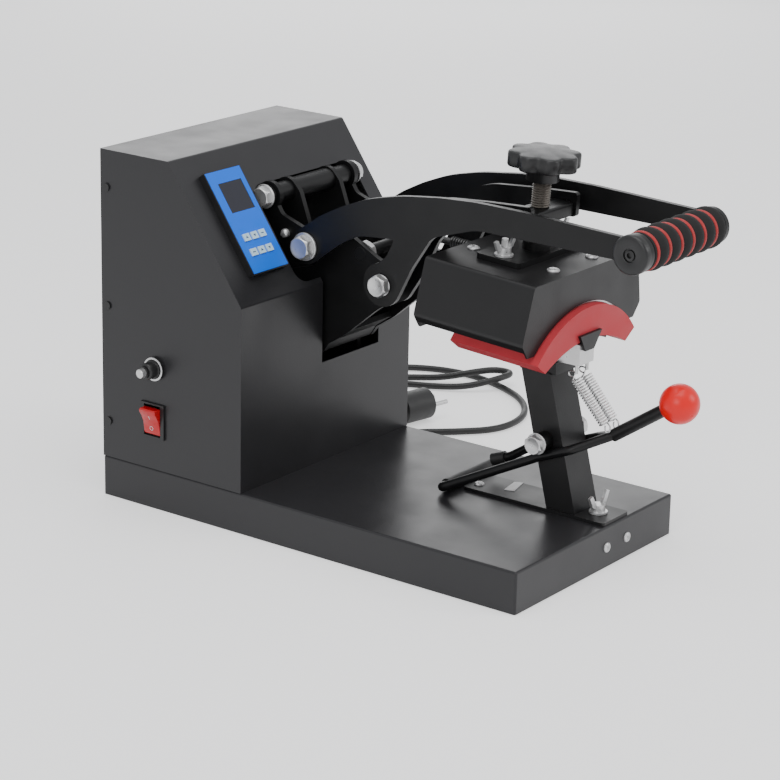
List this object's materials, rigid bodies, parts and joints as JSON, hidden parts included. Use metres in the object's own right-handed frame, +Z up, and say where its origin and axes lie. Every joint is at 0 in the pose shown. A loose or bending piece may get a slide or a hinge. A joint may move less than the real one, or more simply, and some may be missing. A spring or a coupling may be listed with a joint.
{
  "type": "cap heat press",
  "caption": "Cap heat press: folding toggle head with a curved heated platen over a red silicone pad on a leaning post, sprung lever, side switch, keypad and mains lead.",
  "frame": {"origin": "centre of the flat underside of the base", "axes": "+X to the operator's right, +Y to the rear (the housing), +Z up; the mechanism's centre plane is at X = +0.032 m"},
  "size_m": [0.5148, 0.6063, 0.3468],
  "materials": {
    "black_paint": "black powder coat, semi-matt",
    "dark_screw": "black screw",
    "zinc": "bright zinc plate",
    "brass": "plain bearing",
    "black_plastic": "moulded, fine grain",
    "blue_face": "printed panel",
    "dark_window": "dark smooth window",
    "key_pale": "pale key",
    "red_rocker": "red translucent rocker",
    "black_rubber": "black flexible",
    "black_foam": "black foam with narrow red rings",
    "aluminium": "cast and machined",
    "orange_silicone": "silicone heater sheet",
    "grey_cable": "heat-proof sleeve",
    "dark_spring": "closed coil",
    "dark_thread": "oiled steel thread",
    "red_silicone": "smooth red silicone",
    "red_ball": "glossy red ball",
    "spring_steel": "bright tension springs"
  },
  "bodies": {
    "press_frame": {"base_tray": "black_paint", "base_bottom_cover": "black_paint", "casing_screws": "dark_screw", "base_screws": "zinc", "base_channel": "black_paint", "housing_wrap": "black_paint", "housing_sides": "black_paint", "housing_rear_panel": "black_paint", "frame_plates": "black_paint", "frame_spacer_tubes": "black_paint", "upper_pivot_bolt": "zinc", "head_pivot_shaft": "zinc", "controller_bezel": "black_plastic", "controller_face": "blue_face", "display_window": "dark_window", "switch_body": "black_plastic", "fuse_body": "black_plastic", "cord_gland": "black_rubber", "power_cord": "black_rubber", "plug_body": "black_rubber", "plug_pins": "zinc", "silicone_pad": "red_silicone", "platen_plate": "black_paint", "platen_bracket": "zinc", "post": "black_paint", "lever_pivot_bolt": "zinc", "lever_springs": "spring_steel"},
    "head_arm": {"head_arms": "black_paint", "head_pivot_bushes": "brass", "head_arm_bolts": "zinc", "cross_block": "black_paint", "handle_pivot_spacers": "black_paint"},
    "handle": {"handle_arms": "black_paint", "handle_tube": "zinc", "handle_grip": "black_foam"},
    "links": {"links": "black_paint", "link_bolts": "zinc"},
    "heater": {"heater_cover": "black_paint", "heater_platen": "aluminium", "heating_element": "orange_silicone", "heater_bracket": "black_paint", "heater_cover_screws": "zinc", "heater_cable": "grey_cable", "cable_guard": "dark_spring"},
    "pressure_screw": {"pressure_screw": "dark_thread", "star_knob": "black_plastic"},
    "lever": {"lever_arm": "black_paint", "lever_ball": "red_ball", "lever_sleeves": "black_rubber"},
    "rocker": {"switch_rocker": "red_rocker"},
    "fuse_cap": {"fuse_cap": "black_plastic"},
    "wing_nut_left": {"wing_nut_left": "zinc"},
    "wing_nut_right": {"wing_nut_right": "zinc"},
    "foot_wing_screw": {"foot_wing_screw": "zinc"},
    "key_1": {"key_1": "key_pale"},
    "key_2": {"key_2": "key_pale"},
    "key_3": {"key_3": "key_pale"},
    "key_4": {"key_4": "key_pale"},
    "key_5": {"key_5": "key_pale"},
    "key_6": {"key_6": "key_pale"}
  },
  "joints": [
    {"name": "head_fold", "type": "hinge", "parent": "press_frame", "child": "head_arm", "pos_m": [0.032, 0.1, 0.184], "axis": [-1, 0, 0], "range_deg": [0, 36]},
    {"name": "handle_fold", "type": "hinge", "parent": "head_arm", "child": "handle", "pos_m": [0.032, -0.014, 0.2175], "axis": [-1, 0, 0], "range_deg": [0, 22]},
    {"name": "link_swing", "type": "hinge", "parent": "press_frame", "child": "links", "pos_m": [0.032, 0.1135, 0.2738], "axis": [1, 0, 0], "range_deg": [0, 26]},
    {"name": "pressure_slide", "type": "slide", "parent": "head_arm", "child": "heater", "axis": [0, -0.0609, 0.9981], "range_m": [0, 0.005]},
    {"name": "knob_turn", "type": "hinge", "parent": "heater", "child": "pressure_screw", "pos_m": [0.032, -0.1292, 0.2532], "axis": [0, -0.0609, 0.9981], "range_deg": [0, 901]},
    {"name": "lever_tilt", "type": "hinge", "parent": "press_frame", "child": "lever", "pos_m": [0.032, -0.1573, 0.0992], "axis": [1, 0, 0], "range_deg": [0, 35], "stiffness_Nm_per_rad": 0.6, "springref_deg": -28.65, "deforming": ["lever_springs"]},
    {"name": "switch_rock", "type": "hinge", "parent": "press_frame", "child": "rocker", "pos_m": [-0.1155, 0.16275, 0.08175], "axis": [0, 1, 0], "range_deg": [0, 14]},
    {"name": "fuse_turn", "type": "hinge", "parent": "press_frame", "child": "fuse_cap", "pos_m": [-0.12, 0.16, 0.1296], "axis": [1, 0, 0], "range_deg": [0, 90]},
    {"name": "wing_left_turn", "type": "hinge", "parent": "heater", "child": "wing_nut_left", "pos_m": [-0.008, -0.12403, 0.25882], "axis": [0, -0.0609, 0.9981], "continuous": true},
    {"name": "wing_right_turn", "type": "hinge", "parent": "heater", "child": "wing_nut_right", "pos_m": [0.072, -0.12403, 0.25882], "axis": [0, -0.0609, 0.9981], "continuous": true},
    {"name": "foot_wing_turn", "type": "hinge", "parent": "press_frame", "child": "foot_wing_screw", "pos_m": [0.032, -0.202, 0.04], "axis": [0, 0, 1], "continuous": true},
    {"name": "key_1_press", "type": "slide", "parent": "press_frame", "child": "key_1", "axis": [0, 0.8147, -0.5799], "range_m": [0, 0.0008], "stiffness_N_per_m": 300},
    {"name": "key_2_press", "type": "slide", "parent": "press_frame", "child": "key_2", "axis": [0, 0.8147, -0.5799], "range_m": [0, 0.0008], "stiffness_N_per_m": 300},
    {"name": "key_3_press", "type": "slide", "parent": "press_frame", "child": "key_3", "axis": [0, 0.8147, -0.5799], "range_m": [0, 0.0008], "stiffness_N_per_m": 300},
    {"name": "key_4_press", "type": "slide", "parent": "press_frame", "child": "key_4", "axis": [0, 0.8147, -0.5799], "range_m": [0, 0.0008], "stiffness_N_per_m": 300},
    {"name": "key_5_press", "type": "slide", "parent": "press_frame", "child": "key_5", "axis": [0, 0.8147, -0.5799], "range_m": [0, 0.0008], "stiffness_N_per_m": 300},
    {"name": "key_6_press", "type": "slide", "parent": "press_frame", "child": "key_6", "axis": [0, 0.8147, -0.5799], "range_m": [0, 0.0008], "stiffness_N_per_m": 300}
  ],
  "couplings": [
    {"joint": "handle_fold", "follows": "head_fold", "ratio": 0.586},
    {"joint": "link_swing", "follows": "head_fold", "ratio": 0.714},
    {"joint": "knob_turn", "follows": "pressure_slide", "rad_per_m": 3141.6}
  ]
}
